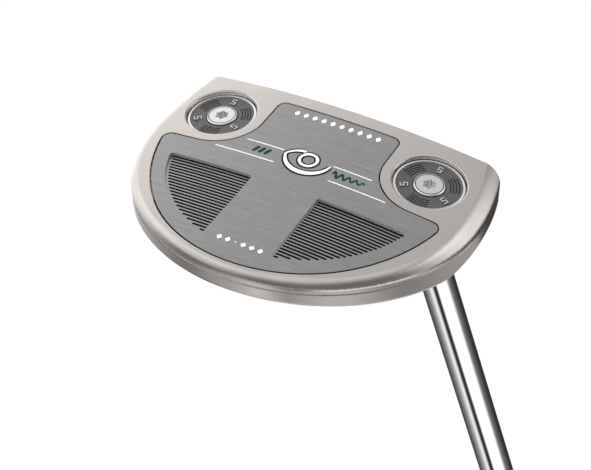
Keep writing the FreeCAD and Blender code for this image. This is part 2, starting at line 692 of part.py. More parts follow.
def make_tape():
    s0, s1 = GRIP_S + 1.5, LENGTH - CAP_T - 0.5
    outer = tube_between([(s0, shaft_r(s0) + TAPE_T), (s1, shaft_r(s1) + TAPE_T)])
    inner = tube_between([(s0 - 1, shaft_r(s0 - 1)), (s1 + 1, shaft_r(s1 + 1))])
    return outer.cut(inner).Solids[0]


def make_cap():
    """Domed end cap with a vent hole."""
    s0, half_width, front, back = GRIP_STATIONS[-1]
    dome = [(0, 0.0), (3.2, 0.15), (5.6, -1.0), (7.0, -3.2), (CAP_T, -6.5)]
    sections = []
    for up, grow in dome:
        sections.append(grip_section((s0 + up, half_width, front, back), grow))
    cap = Part.makeLoft(sections, True, False)
    vent = Part.makeCylinder(VENT_R, 3 * CAP_T, on_axis(s0 - CAP_T), AXIS)
    return cap.cut(vent).Solids[0]


# ---- write the pieces ----
def main():
    os.makedirs("parts", exist_ok=True)
    weight, screw, ring = make_weight(), make_weight_screw(), make_screw_ring()
    pieces = {
        "head_body": make_head(),
        "sole_plate": make_plate(),
        "plate_adhesive": make_film(),
        "hosel_neck": make_neck(),
        "hosel_screw": make_neck_screw(),
        "shaft": make_shaft(),
        "shaft_epoxy": make_epoxy(),
        "grip_body": make_grip(),
        "grip_tape": make_tape(),
        "grip_cap": make_cap(),
    }
    for name, side in (("toe", -1), ("heel", 1)):
        pieces[name + "_weight"] = placed(weight, side)
        pieces[name + "_weight_screw"] = placed(screw, side)
        pieces[name + "_screw_ring"] = placed(ring, side)
    for name, shape in pieces.items():
        box = shape.BoundBox
        state = "valid" if shape.isValid() else "NOT VALID"
        spans = (box.XMin, box.XMax, box.YMin, box.YMax, box.ZMin, box.ZMax)
        print(name, state, shape.ShapeType, "volume %.0f" % shape.Volume)
        print("    x %.1f..%.1f y %.1f..%.1f z %.1f..%.1f" % spans)
        shape.exportStep(os.path.join("parts", name + ".step"))


main()
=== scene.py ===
"""Looks of the mallet putter: finishes, paint inlays and grip detail, with the light and the camera.

Metres, in the part's own frame: +Z up, the origin under the middle of the sole, the face towards -Y,
the heel at +X and the toe at -X. The main camera looks up at the sole from behind the heel.
"""
import math

import bmesh
import bpy
from mathutils import Matrix, Vector
from mathutils.bvhtree import BVHTree


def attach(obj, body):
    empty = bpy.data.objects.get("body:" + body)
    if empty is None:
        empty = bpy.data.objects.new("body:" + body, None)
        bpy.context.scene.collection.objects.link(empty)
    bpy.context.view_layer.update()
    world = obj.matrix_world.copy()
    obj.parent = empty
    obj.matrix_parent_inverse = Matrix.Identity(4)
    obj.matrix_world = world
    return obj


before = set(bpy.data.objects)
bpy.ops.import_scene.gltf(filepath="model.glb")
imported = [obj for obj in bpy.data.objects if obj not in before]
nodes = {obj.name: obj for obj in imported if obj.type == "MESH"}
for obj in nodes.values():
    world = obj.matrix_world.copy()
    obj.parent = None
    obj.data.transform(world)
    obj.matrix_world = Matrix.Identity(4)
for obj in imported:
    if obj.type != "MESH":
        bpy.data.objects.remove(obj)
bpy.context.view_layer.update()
MM = 0.001

# ---- the part's own dimensions that the looks follow, in millimetres ----
CAMBER_R = 341.0                    # the sole is curved from toe to heel
WEIGHT_X, WEIGHT_Y = 32.53, -12.4
WEIGHT_SUNK = 1.25                  # the weight's bright rim lies this far below the sole
WEIGHT_FACE_R = 9.23                # the dark face inside the bright rim
NUMERAL_TOP = 0.2                   # the numerals' tops lie less than this below the bright rim
GROOVE_BELOW = 0.45                 # the grooves of the face, painted near-black as shade, lie more than this below the bright rim
TURNING = 28000.0                   # fine turning lines, radians of wave per metre from the axis
HEAD_GROOVE_MID_R = 3.84            # middle of the fine ring groove in each weight screw's head
HEAD_GROOVE_HALF_W = 0.14
HEAD_GROOVE_ABOVE = 0.1             # the head's groove starts this far above the bright rim
LIE = math.radians(71.38)
SHAFT_X0, SHAFT_Y = 13.2, -27.2     # the shaft's axis meets the ground here
BUTT_S = 881.4                      # the grip's butt, measured along the shaft's axis
WEAVE_PITCH = 1.1                   # of the grip's diamond texture
SIGHT_BOTTOM_Z = 4.85               # floor of the sight groove in the crown
RECESS_DEEP = 0.9                   # the recesses round the slots are this deep at their front
RECESS_FRONT_Y, RECESS_BACK_Y = 9.1, 36.0
SLOT_BELOW = 0.15                   # the slots' near-black, black paint with painted shade, starts this far below their recess's floor
WALL_BELOW = 0.04                   # the painted light on a recess's wall starts this far below the sole
RECESS_REACH = 38.0                 # no wall of a recess is further from the origin than this
AXIS = Vector((math.cos(LIE), 0, math.sin(LIE)))
FRONT = Vector((-math.sin(LIE), 0, math.cos(LIE)))      # the grip's flat front looks this way
ACROSS = Vector((0, 1, 0))


# ---- node helpers ----
class Nodes:
    """A material's or world's node tree, with short ways to add and join nodes."""

    def __init__(self, tree):
        self.tree = tree
        tree.nodes.clear()

    def add(self, kind, inputs=None, **settings):
        node = self.tree.nodes.new(kind)
        for key, value in settings.items():
            setattr(node, key, value)
        for key, value in (inputs or {}).items():
            self.feed(node.inputs[key], value)
        return node

    def feed(self, socket, value):
        if isinstance(value, bpy.types.NodeSocket):
            self.tree.links.new(value, socket)
        else:
            socket.default_value = value

    def math(self, operation, a, b=0.0, c=0.0):
        return self.add("ShaderNodeMath", {0: a, 1: b, 2: c}, operation=operation).outputs[0]

    def step(self, value, low, high, out_low=0.0, out_high=1.0):
        """A smooth ramp of value between low and high."""
        inputs = {0: value, 1: low, 2: high, 3: out_low, 4: out_high}
        return self.add("ShaderNodeMapRange", inputs, interpolation_type="SMOOTHSTEP").outputs[0]

    def ramp(self, value, low, high, out_low=0.0, out_high=1.0):
        return self.add("ShaderNodeMapRange", {0: value, 1: low, 2: high, 3: out_low, 4: out_high}).outputs[0]

    def dot(self, vector, direction):
        inputs = {0: vector, 1: tuple(direction)}
        return self.add("ShaderNodeVectorMath", inputs, operation="DOT_PRODUCT").outputs["Value"]

    def coords(self, scale=(1, 1, 1), turn=(0, 0, 0)):
        """The piece's own coordinates in metres, turned and then multiplied."""
        source = self.add("ShaderNodeTexCoord").outputs["Object"]
        turned = self.add("ShaderNodeMapping", {"Vector": source, "Rotation": turn}).outputs[0]
        return self.add("ShaderNodeVectorMath", {0: turned, 1: tuple(scale)}, operation="MULTIPLY").outputs[0]

    def noise(self, vector, detail=2.0, rough=0.5):
        inputs = {"Vector": vector, "Scale": 1.0, "Detail": detail, "Roughness": rough}
        return self.add("ShaderNodeTexNoise", inputs).outputs["Fac"]

    def mix(self, factor, a, b):
        node = self.add("ShaderNodeMix", data_type="RGBA")
        for name, value in (("Factor_Float", factor), ("A_Color", a), ("B_Color", b)):
            socket = next(s for s in node.inputs if s.identifier == name)
            self.feed(socket, value)
        return next(s for s in node.outputs if s.identifier == "Result_Color")

    def bump(self, height, distance):
        inputs = {"Height": height, "Distance": distance, "Strength": 1.0}
        return self.add("ShaderNodeBump", inputs).outputs[0]


def rgb(r, g, b):
    return (r, g, b, 1.0)


def new_material(name):
    """A material with a Principled shader; returns the material, its nodes and the shader."""
    material = bpy.data.materials.new(name)
    material.use_nodes = True
    nt = Nodes(material.node_tree)
    shader = nt.add("ShaderNodeBsdfPrincipled")
    out = nt.add("ShaderNodeOutputMaterial")
    nt.tree.links.new(shader.outputs[0], out.inputs[0])
    return material, nt, shader


def dress(material, *names):
    for name in names:
        slots = nodes[name].data.materials
        slots.clear()
        slots.append(material)


# ---- finishes ----
def satin_steel():
    """Warm satin steel of the head: a fine grain drawn out from toe to heel, with slight cloudiness."""
    material, nt, shader = new_material("satin_steel")
    clouds = nt.noise(nt.coords((90, 90, 90)), detail=3)
    grain = nt.noise(nt.coords((1300, 2600, 2600)), detail=2)
    lines = nt.noise(nt.coords((140, 3600, 2400)), detail=2)
    tone = nt.mix(nt.ramp(clouds, 0.3, 0.7), rgb(0.62, 0.582, 0.55), rgb(0.67, 0.63, 0.598))
    tone = nt.mix(nt.ramp(lines, 0.3, 0.7, 0, 0.3), tone, rgb(0.58, 0.545, 0.515))
    nt.feed(shader.inputs["Base Color"], tone)
    shader.inputs["Metallic"].default_value = 1.0
    nt.feed(shader.inputs["Roughness"], nt.ramp(nt.math("ADD", grain, lines), 0.7, 1.3, 0.19, 0.25))
    nt.feed(shader.inputs["Normal"], nt.bump(lines, 4e-7))
    return material


def brushed_plate():
    """Grey anodised plate with a straight brushed grain from toe to heel; near-black down in its slots, black
    paint with painted shade of the slots and of the gap round the plate, and a light matt grey on the
    recesses' walls that is painted light.
    """
    material, nt, shader = new_material("brushed_plate")
    fine = nt.noise(nt.coords((170, 4200, 900)), detail=3, rough=0.65)
    broad = nt.noise(nt.coords((60, 900, 300)), detail=2)
    streak = nt.math("ADD", nt.math("MULTIPLY", fine, 0.75), nt.math("MULTIPLY", broad, 0.25))
    tone = nt.mix(nt.ramp(streak, 0.33, 0.67), rgb(0.31, 0.31, 0.312), rgb(0.44, 0.44, 0.442))
    place = nt.add("ShaderNodeSeparateXYZ", {0: nt.add("ShaderNodeTexCoord").outputs["Object"]})
    x_squared = nt.math("MULTIPLY", place.outputs[0], place.outputs[0])
    curve = nt.math("MULTIPLY", x_squared, 0.5 / (CAMBER_R * MM))
    depth = nt.math("SUBTRACT", place.outputs[2], curve)
    recess = nt.ramp(place.outputs[1], RECESS_FRONT_Y * MM, RECESS_BACK_Y * MM, RECESS_DEEP * MM, 0.0)
    # Below the recesses' floors the plate is near-black: black paint in the slots, with painted shade of the
    # slots and of the gap round the plate.
    slot_paint_and_shade = nt.math("GREATER_THAN", depth, nt.math("ADD", recess, SLOT_BELOW * MM))
    slot_paint_and_shade = nt.math("MULTIPLY", slot_paint_and_shade, nt.math("GREATER_THAN", place.outputs[1], RECESS_FRONT_Y * MM))
    # The recesses' walls are painted a light matt grey in place of the metal: painted light, standing in for
    # the light they catch.
    below_sole = nt.math("GREATER_THAN", depth, WALL_BELOW * MM)
    lit_wall_paint = nt.math("MULTIPLY", below_sole, nt.math("LESS_THAN", depth, recess))
    flat = nt.add("ShaderNodeCombineXYZ", {0: place.outputs[0], 1: place.outputs[1]}).outputs[0]
    reach = nt.add("ShaderNodeVectorMath", {0: flat}, operation="LENGTH").outputs["Value"]
    lit_wall_paint = nt.math("MULTIPLY", lit_wall_paint, nt.math("LESS_THAN", reach, RECESS_REACH * MM))
    tone_with_lit_walls = nt.mix(lit_wall_paint, tone, rgb(0.42, 0.42, 0.42))
    nt.feed(shader.inputs["Base Color"], nt.mix(slot_paint_and_shade, tone_with_lit_walls, rgb(0.012, 0.012, 0.012)))
    nt.feed(shader.inputs["Metallic"], nt.math("SUBTRACT", 1.0, nt.math("MAXIMUM", slot_paint_and_shade, lit_wall_paint)))
    nt.feed(shader.inputs["Roughness"], nt.ramp(streak, 0.3, 0.7, 0.34, 0.46))
    nt.feed(shader.inputs["Normal"], nt.bump(streak, 6e-6))
    return material


def chrome():
    """Bright chrome of the shaft, with very faint polishing lines along it."""
    material, nt, shader = new_material("chrome")
    lines = nt.noise(nt.coords((900, 900, 20), turn=(0, math.pi / 2 - LIE, 0)), detail=2)
    tone = nt.mix(nt.ramp(lines, 0.3, 0.7), rgb(0.93, 0.93, 0.935), rgb(0.97, 0.97, 0.975))
    nt.feed(shader.inputs["Base Color"], tone)
    shader.inputs["Metallic"].default_value = 1.0
    nt.feed(shader.inputs["Roughness"], nt.ramp(lines, 0.3, 0.7, 0.03, 0.055))
    return material


def round_weight(nt, side):
    """Depth inside the sole and distance from the weight's axis, in metres, and the fine turning."""
    tilt = math.asin(WEIGHT_X / CAMBER_R)
    inward = Vector((-side * math.sin(tilt), 0, math.cos(tilt)))
    centre = Vector((side * WEIGHT_X, WEIGHT_Y, CAMBER_R * (1 - math.cos(tilt)))) * MM
    source = nt.add("ShaderNodeTexCoord").outputs["Object"]
    local = nt.add("ShaderNodeVectorMath", {0: source, 1: tuple(centre)}, operation="SUBTRACT").outputs[0]
    depth = nt.dot(local, inward)
    length = nt.add("ShaderNodeVectorMath", {0: local}, operation="LENGTH").outputs["Value"]
    length_squared = nt.math("MULTIPLY", length, length)
    depth_squared = nt.math("MULTIPLY", depth, depth)
    reach = nt.math("SQRT", nt.math("SUBTRACT", length_squared, depth_squared))
    return depth, reach, nt.math("SINE", nt.math("MULTIPLY", reach, TURNING))


def weight_finish(name, side):
    """Dark face with painted numerals and painted shade in its grooves, inside a bright turned rim, round one
    weight's own axis.
    """
    material, nt, shader = new_material(name)
    depth, reach, turned = round_weight(nt, side)
    grain = nt.noise(nt.coords((1500, 1500, 1500)), detail=2)
    inside = nt.math("LESS_THAN", reach, WEIGHT_FACE_R * MM - 2e-5)
    raised = nt.math("LESS_THAN", depth, (WEIGHT_SUNK + NUMERAL_TOP) * MM)
    painted = nt.math("MULTIPLY", inside, raised)
    # The grooves of the dark face are painted near-black: painted shade down in them.
    face_groove_shade = nt.math("GREATER_THAN", depth, (WEIGHT_SUNK + GROOVE_BELOW) * MM)
    dark = nt.mix(nt.ramp(grain, 0.3, 0.7), rgb(0.10, 0.10, 0.103), rgb(0.135, 0.135, 0.139))
    dark = nt.mix(face_groove_shade, dark, rgb(0.02, 0.02, 0.02))
    tone = nt.mix(inside, rgb(0.86, 0.85, 0.84), dark)
    nt.feed(shader.inputs["Base Color"], nt.mix(painted, tone, rgb(0.56, 0.56, 0.555)))
    nt.feed(shader.inputs["Metallic"], nt.ramp(inside, 0, 1, 0.8, 0.55))
    nt.feed(shader.inputs["Roughness"], nt.ramp(inside, 0, 1, 0.3, 0.45))
    nt.feed(shader.inputs["Normal"], nt.bump(turned, 1.5e-6))
    return material


def screw_finish(name, side):
    """Bright satin stainless of a weight screw, with painted shade down in the fine ring groove of its head.
    """
    material, nt, shader = new_material(name)
    depth, reach, turned = round_weight(nt, side)
    grain = nt.noise(nt.coords((1800, 1800, 1800)), detail=2)
    # The fine ring groove of the head is painted dark: painted shade down in it.
    head_groove_shade = nt.math("COMPARE", reach, HEAD_GROOVE_MID_R * MM, HEAD_GROOVE_HALF_W * MM)
    deep = nt.math("GREATER_THAN", depth, (WEIGHT_SUNK - HEAD_GROOVE_ABOVE) * MM)
    head_groove_shade = nt.math("MULTIPLY", head_groove_shade, deep)
    tone = nt.mix(nt.ramp(grain, 0.3, 0.7), rgb(0.76, 0.755, 0.745), rgb(0.83, 0.825, 0.815))
    nt.feed(shader.inputs["Base Color"], nt.mix(head_groove_shade, tone, rgb(0.05, 0.05, 0.05)))
    shader.inputs["Metallic"].default_value = 1.0
    nt.feed(shader.inputs["Roughness"], nt.ramp(grain, 0.3, 0.7, 0.24, 0.30))
    nt.feed(shader.inputs["Normal"], nt.bump(turned, 5e-7))
    return material


def plain_screw():
    """Satin stainless of the neck screw, hidden under the sole plate."""
    material, nt, shader = new_material("plain_screw")
    grain = nt.noise(nt.coords((1800, 1800, 1800)), detail=2)
    tone = nt.mix(nt.ramp(grain, 0.3, 0.7), rgb(0.5, 0.5, 0.49), rgb(0.6, 0.6, 0.59))
    nt.feed(shader.inputs["Base Color"], tone)
    shader.inputs["Metallic"].default_value = 1.0
    nt.feed(shader.inputs["Roughness"], nt.ramp(grain, 0.3, 0.7, 0.25, 0.35))
    nt.feed(shader.inputs["Normal"], nt.bump(grain, 2e-6))
    return material


def soft_finish(name, low, high, roughness, grain_per_m, bump_m, specular=0.5):
    """Plain moulded, bonded or painted finish with a fine grain."""
    material, nt, shader = new_material(name)
    grain = nt.noise(nt.coords((grain_per_m,) * 3), detail=3)
    clouds = nt.noise(nt.coords((60, 60, 60)), detail=2)
    mixed = nt.math("ADD", nt.math("MULTIPLY", grain, 0.6), nt.math("MULTIPLY", clouds, 0.4))
    nt.feed(shader.inputs["Base Color"], nt.mix(nt.ramp(mixed, 0.35, 0.65), low, high))
    nt.feed(shader.inputs["Roughness"], nt.ramp(grain, 0.3, 0.7, roughness - 0.05, roughness + 0.05))
    shader.inputs["Specular IOR Level"].default_value = specular
    nt.feed(shader.inputs["Normal"], nt.bump(grain, bump_m))
    return material


def grip_rubber():
    """Black rubber with a fine moulded diamond texture."""
    material, nt, shader = new_material("grip_rubber_black")
    turn = (0, math.pi / 2 - LIE, 0)
    source = nt.add("ShaderNodeTexCoord").outputs["Object"]
    along = nt.dot(source, AXIS)
    around = nt.dot(source, ACROSS)
    front = nt.dot(source, FRONT)
    waves = 2 * math.pi / (WEAVE_PITCH * MM)
    wide = nt.math("ADD", around, nt.math("MULTIPLY", front, 0.6))
    a = nt.math("SINE", nt.math("MULTIPLY", nt.math("ADD", along, wide), waves))
    b = nt.math("SINE", nt.math("MULTIPLY", nt.math("SUBTRACT", along, wide), waves))
    weave = nt.math("MULTIPLY", a, b)
    grain = nt.noise(nt.coords((2400, 2400, 2400), turn=turn), detail=3)
    clouds = nt.noise(nt.coords((70, 70, 25), turn=turn), detail=2)
    tone = nt.mix(nt.ramp(clouds, 0.3, 0.7), rgb(0.006, 0.006, 0.0063), rgb(0.010, 0.010, 0.0105))
    tone = nt.mix(nt.ramp(weave, -1, 1, 0, 0.6), tone, rgb(0.014, 0.014, 0.0145))
    nt.feed(shader.inputs["Base Color"], tone)
    nt.feed(shader.inputs["Roughness"], nt.ramp(grain, 0.3, 0.7, 0.52, 0.66))
    shader.inputs["Specular IOR Level"].default_value = 0.22
    height = nt.math("ADD", nt.math("MULTIPLY", weave, 0.7), nt.math("MULTIPLY", grain, 0.5))
    nt.feed(shader.inputs["Normal"], nt.bump(height, 5e-5))
    return material


STEEL = satin_steel()
PLATE = brushed_plate()
CHROME = chrome()
RUBBER = grip_rubber()
CAP = soft_finish("cap_grey", rgb(0.15, 0.15, 0.152), rgb(0.19, 0.19, 0.192), 0.5, 2600, 1.2e-5)
WHITE = soft_finish("white_paint", rgb(0.83, 0.83, 0.82), rgb(0.88, 0.88, 0.87), 0.45, 4000, 3e-6)
BLACK = soft_finish("black_paint", rgb(0.006, 0.006, 0.006), rgb(0.010, 0.010, 0.010), 0.5, 4000, 3e-6, 0.08)
GREEN = soft_finish("green_paint", rgb(0.0, 0.040, 0.024), rgb(0.0, 0.060, 0.038), 0.5, 4000, 3e-6, 0.08)
SILVER = soft_finish("grip_line_paint", rgb(0.30, 0.30, 0.30), rgb(0.40, 0.40, 0.40), 0.5, 3000, 5e-6)

dress(STEEL, "head_body", "hosel_neck")
dress(PLATE, "sole_plate")
dress(CHROME, "shaft")
dress(screw_finish("toe_screw_finish", -1), "toe_weight_screw")
dress(screw_finish("heel_screw_finish", 1), "heel_weight_screw")
dress(plain_screw(), "hosel_screw")
dress(RUBBER, "grip_body")
dress(CAP, "grip_cap")
dress(weight_finish("toe_weight_finish", -1), "toe_weight")
dress(weight_finish("heel_weight_finish", 1), "heel_weight")
dress(soft_finish("bonding_film", rgb(0.008, 0.008, 0.008), rgb(0.014, 0.014, 0.014), 0.6, 1200, 2e-5),
      "plate_adhesive")
dress(soft_finish("ring_rubber_black", rgb(0.012, 0.012, 0.012), rgb(0.02, 0.02, 0.02), 0.6, 3000, 5e-6),
      "toe_screw_ring", "heel_screw_ring")
dress(soft_finish("epoxy", rgb(0.42, 0.38, 0.28), rgb(0.50, 0.46, 0.36), 0.4, 900, 1e-5), "shaft_epoxy")
dress(soft_finish("grip_tape_paper", rgb(0.62, 0.60, 0.55), rgb(0.70, 0.68, 0.63), 0.8, 1500, 2e-5),
      "grip_tape")


# ---- thin painted pieces ----
STEP = 0.45             # longest stretch of a painted line between two sections, mm
PAINT_SINK = 0.06       # painted lines reach this far into the surface, mm
SOLE_LINE_W = 0.34
EMBLEM_EDGE = 1.0       # the emblem's black edge adds this to the width of its white lines


def spaced(points):
    """The same polyline with its stretches divided into steps no longer than STEP."""
    out = [Vector(points[0])]
    for a, b in zip(points, points[1:]):
        a, b = Vector(a), Vector(b)
        count = max(1, math.ceil((b - a).length / STEP))
        out += [a.lerp(b, i / count) for i in range(1, count + 1)]
    return out


def join_rings(bm, pairs):
    """Walls between neighbouring four-cornered sections of a ribbon."""
    for r0, r1 in pairs:
        for k in range(4):
            bm.faces.new((r0[k], r0[(k + 1) % 4], r1[(k + 1) % 4], r1[k]))


def lay_line(bm, points, width, place, lift, sink=PAINT_SINK, closed=False, round_ends=True):
    """Add one painted line to bm: a closed thin ribbon along the points, laid on the surface by place."""
    path = spaced(list(points) + ([points[0]] if closed else []))
    if closed:
        path.pop()
    count = len(path)
    total = sum((b - a).length for a, b in zip(path, path[1:]))
    run = 0.0
    rings = []
    for i, p in enumerate(path):
        before = path[i - 1] if i or closed else None
        after = path[(i + 1) % count] if i < count - 1 or closed else None
        d0 = (p - before).normalized() if before is not None else (after - p).normalized()
        d1 = (after - p).normalized() if after is not None else d0
        if i and before is not None:
            run += (p - before).length
        mean = (d0 + d1).normalized()
        side = Vector((-mean.y, mean.x)) / max(0.6, mean.dot(d0))
        half = (width(run / max(total, 1e-9)) if callable(width) else width) / 2
        if round_ends and not closed:
            near = min(run, total - run)
            if near < half:
                half *= max(0.25, math.sqrt(max(0.0, 1 - ((half - near) / half) ** 2)))
        ring = []
        for sign, height in ((1, lift), (-1, lift), (-1, -sink), (1, -sink)):
            q = p + side * (sign * half)
            ring.append(bm.verts.new(place(q.x, q.y, height)))
        rings.append(ring)
    join_rings(bm, list(zip(rings, rings[1:])) + ([(rings[-1], rings[0])] if closed else []))
    if not closed:
        bm.faces.new(rings[0][::-1])
        bm.faces.new(rings[-1])


def finish_piece(name, bm, material, slot):
    """Turn bm into an object that rides on the putter's fixed body."""
    bmesh.ops.recalc_face_normals(bm, faces=bm.faces)
    mesh = bpy.data.meshes.new(name)
    bm.to_mesh(mesh)
    bm.free()
    mesh.materials.append(material)
    piece = bpy.data.objects.new(name, mesh)
    bpy.context.scene.collection.objects.link(piece)
    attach(piece, "root")
    return piece


def painted(name, lines, place, material, slot, lift=0.03):
    """One piece made of several lines, each a dict of lay_line's own arguments."""
    bm = bmesh.new()
    for line in lines:
        lay_line(bm, place=place, lift=lift, **line)
    return finish_piece(name, bm, material, slot)


def on_sole(x, y, height):
    """A point height outside the sole plate's surface, from plan millimetres."""
    return Vector((x, y, x * x / (2 * CAMBER_R) - height)) * MM


def arc_points(cx, cy, rx, ry, deg0, deg1, count=28):
    out = []
    for i in range(count + 1):
        rad = math.radians(deg0 + (deg1 - deg0) * i / count)
        out.append((cx + rx * math.cos(rad), cy + ry * math.sin(rad)))
    return out


def sole_lines():
    """Two pairs of fine white lines each side of the emblem."""
    lines = []
    for y, inner_toe, inner_heel, outer in ((-4.24, -7.5, 7.5, 19.4), (1.6, -7.5, 8.8, 26.2)):
        lines.append({"points": [(-outer, y), (inner_toe, y)], "width": SOLE_LINE_W})
        lines.append({"points": [(inner_heel, y), (outer, y)], "width": SOLE_LINE_W})
    painted("sole_lines_white", lines, on_sole, WHITE, "plate_alloy")


def lozenge(x, y, wide, tall):
    """One filled lozenge: a line whose width grows to the middle and shrinks again."""
    return {
        "points": [(x, y - tall / 2), (x, y + tall / 2)],
        "width": lambda t: 0.1 + (wide - 0.1) * (1 - abs(2 * t - 1)),
        "round_ends": False,
    }


def lozenge_rows():
    """A row of white lozenges near the face and a shorter one, broken by a dot, near the back."""
    front_x0, front_pitch, front_y, back_y = -12.2, 2.82, -20.3, 34.1
    row = [lozenge(front_x0 + front_pitch * i, front_y, 1.75, 2.1) for i in range(10)]
    painted("sole_front_marks", row, on_sole, WHITE, "plate_alloy", lift=0.05)
    row = [lozenge(x, back_y, 1.6, 1.8) for x in (-5.5, -3.0, 1.6, 4.1, 6.6)]
    row.append({"points": [(-0.95, back_y), (-0.45, back_y)], "width": 0.5})
    painted("sole_back_marks", row, on_sole, WHITE, "plate_alloy", lift=0.05)


def emblem():
    """A ball above a wide cup-shaped stroke: white, with a black edge."""
    ball = arc_points(0.4, -3.3, 2.5, 2.5, 0, 360)[:-1]
    cup = arc_points(0.2, -4.6, 6.9, 6.7, 172, 8)
    flick = arc_points(-1.4, -0.9, 5.8, 5.3, 200, 268)
    shapes = [
        ({"points": ball, "closed": True}, 0.85),
        ({"points": cup}, lambda t: 0.55 + 0.85 * math.sin(math.pi * t)),
        ({"points": flick}, lambda t: 0.45 + 0.6 * t),
    ]
    white, black = [], []
    for shape, width in shapes:
        white.append({**shape, "width": width})
        wider = (lambda t, w=width: w(t) + EMBLEM_EDGE) if callable(width) else width + EMBLEM_EDGE
        black.append({**shape, "width": wider})
    painted("emblem_edge_black", black, on_sole, BLACK, "plate_alloy", lift=0.06)
    painted("emblem_white", white, on_sole, WHITE, "plate_alloy", lift=0.09)


def green_marks():
    """Short slanted green bars on the toe side and a green wave on the heel side."""
    bar_x0, bar_pitch, bar_count = -15.4, 1.8, 3
    wave_x0, wave_long, wave_y, wave_high, wave_count, steps = 8.7, 9.6, -1.45, 1.45, 4.5, 60
    lines = []
    for i in range(bar_count):
        x = bar_x0 + bar_pitch * i
        lines.append({"points": [(x, -0.2), (x + 1.0, -2.8)], "width": 0.95})
    wave = []
    for i in range(steps + 1):
        t = i / steps
        fade = wave_high * (1 - 0.5 * t)
        swing = fade * math.sin(t * 2 * math.pi * wave_count) * 0.75
        wave.append((wave_x0 + wave_long * t, wave_y - swing))
    lines.append({"points": wave, "width": lambda t: 0.72 - 0.25 * t})
    painted("sole_green_marks", lines, on_sole, GREEN, "plate_alloy", lift=0.05)


def sight_line():
    """White paint that fills the sight groove in the crown."""
    def on_groove(x, y, height):
        return Vector((x, y, x * x / (2 * CAMBER_R) + SIGHT_BOTTOM_Z + height)) * MM
    line = {"points": [(0, -12.9), (0, 38.5)], "width": 1.42, "round_ends": False, "sink": 0.02}
    painted("sight_line_white", [line], on_groove, WHITE, "head_steel", lift=0.3)


# ---- grip detail ----
grip_mesh = nodes["grip_body"].data
GRIP_TREE = BVHTree.FromPolygons(
    [v.co for v in grip_mesh.vertices],
    [list(p.vertices) for p in grip_mesh.polygons],
)
GRIP_WRAP_R = 11.0      # millimetres across the grip are turned into an angle with this radius
GRIP_LINE_W = 0.42
GRIP_LIFT = 0.10        # the grip's painted lines stand this far out of it
SIDE_END = 15.0         # they end this far round from the middle of the front
RING_STEPS = 96


def on_grip(t, s, height):
    """A point height outside the grip, t round from the middle of its flat front and s along the axis."""
    angle = t / GRIP_WRAP_R
    out = FRONT * math.cos(angle) + ACROSS * math.sin(angle)
    centre = Vector((SHAFT_X0, SHAFT_Y, 0)) + AXIS * s
    hit = GRIP_TREE.ray_cast((centre + out * 40) * MM, -out)
    normal = hit[1] if hit[1].dot(out) > 0 else -hit[1]
    return hit[0] + normal * height * MM


def chevron(s, slope):
    """One chevron line across the front, its point towards the tip, its ends drooping round the sides."""
    half, depth, end = 4.4, 4.7, SIDE_END
    droop = slope * (end - half)
    points = [(-end, s - droop), (-half, s), (0, s - depth), (half, s), (end, s - droop)]
    return {"points": points, "width": GRIP_LINE_W, "round_ends": False}


def grip_lines():
    """Chevrons at both ends of the grip, short side ticks between them, and the marks at its ends."""
    upper_top, upper_pitch, upper_count = 866.3, 6.56, 11
    lines = [chevron(upper_top - i * upper_pitch, 0.06 + 0.012 * i) for i in range(upper_count)]
    lower_top, lower_pitch, lower_count = 690.8, 6.46, 8
    lines += [chevron(lower_top - i * lower_pitch, 0.02) for i in range(lower_count)]
    tick_s = upper_top - upper_count * upper_pitch
    while tick_s > lower_top + 3:
        for side in (-1, 1):
            tick = [(side * 8.6, tick_s + 0.4), (side * SIDE_END, tick_s - 0.9)]
            lines.append({"points": tick, "width": GRIP_LINE_W})
        tick_s -= upper_pitch
    for side in (-1, 1):
        lines.append({"points": [(side * 3.9, 873.0), (side * SIDE_END, 873.5)], "width": GRIP_LINE_W})
    painted("grip_lines", lines, on_grip, SILVER, "grip_rubber", lift=GRIP_LIFT)
    end_marks = [{"points": [(0, 869.6), (0, 874.9)], "width": 0.9},
                 {"points": [(0, 624.4), (0, 628.4)], "width": 0.8}]
    painted("grip_end_marks", end_marks, on_grip, WHITE, "grip_rubber", lift=GRIP_LIFT)


def grip_panel():
    """Ten plain white marks down the smooth panel in the middle of the grip's front."""
    top, pitch, count = 789.9, 10.31, 10
    lines = []
    for i in range(count):
        s = top - pitch * i
        lines.append({"points": [(-1.9, s + 1.6), (0, s - 1.6), (1.9, s + 1.6)], "width": 1.25})
    painted("grip_panel_marks", lines, on_grip, WHITE, "grip_rubber", lift=GRIP_LIFT)


def grip_ring(bm, s, width):
    """Add to bm a closed thin band all the way round the grip."""
    half = width / 2
    corners = ((s + half, GRIP_LIFT), (s - half, GRIP_LIFT), (s - half, -PAINT_SINK), (s + half, -PAINT_SINK))
    turn = 2 * math.pi * GRIP_WRAP_R
    rings = []
    for i in range(RING_STEPS):
        t = turn * i / RING_STEPS
        rings.append([bm.verts.new(on_grip(t, along, height)) for along, height in corners])
    join_rings(bm, zip(rings, rings[1:] + rings[:1]))


def grip_rings():
    """White rings under the cap and near the grip's thin end."""
    bm = bmesh.new()
    for s, width in ((BUTT_S - 0.95, 1.5), (632.4, 1.2)):
        grip_ring(bm, s, width)
    finish_piece("grip_rings_white", bm, WHITE, "grip_rubber")


sole_lines()
lozenge_rows()
emblem()
green_marks()
sight_line()
grip_lines()
grip_panel()
grip_rings()


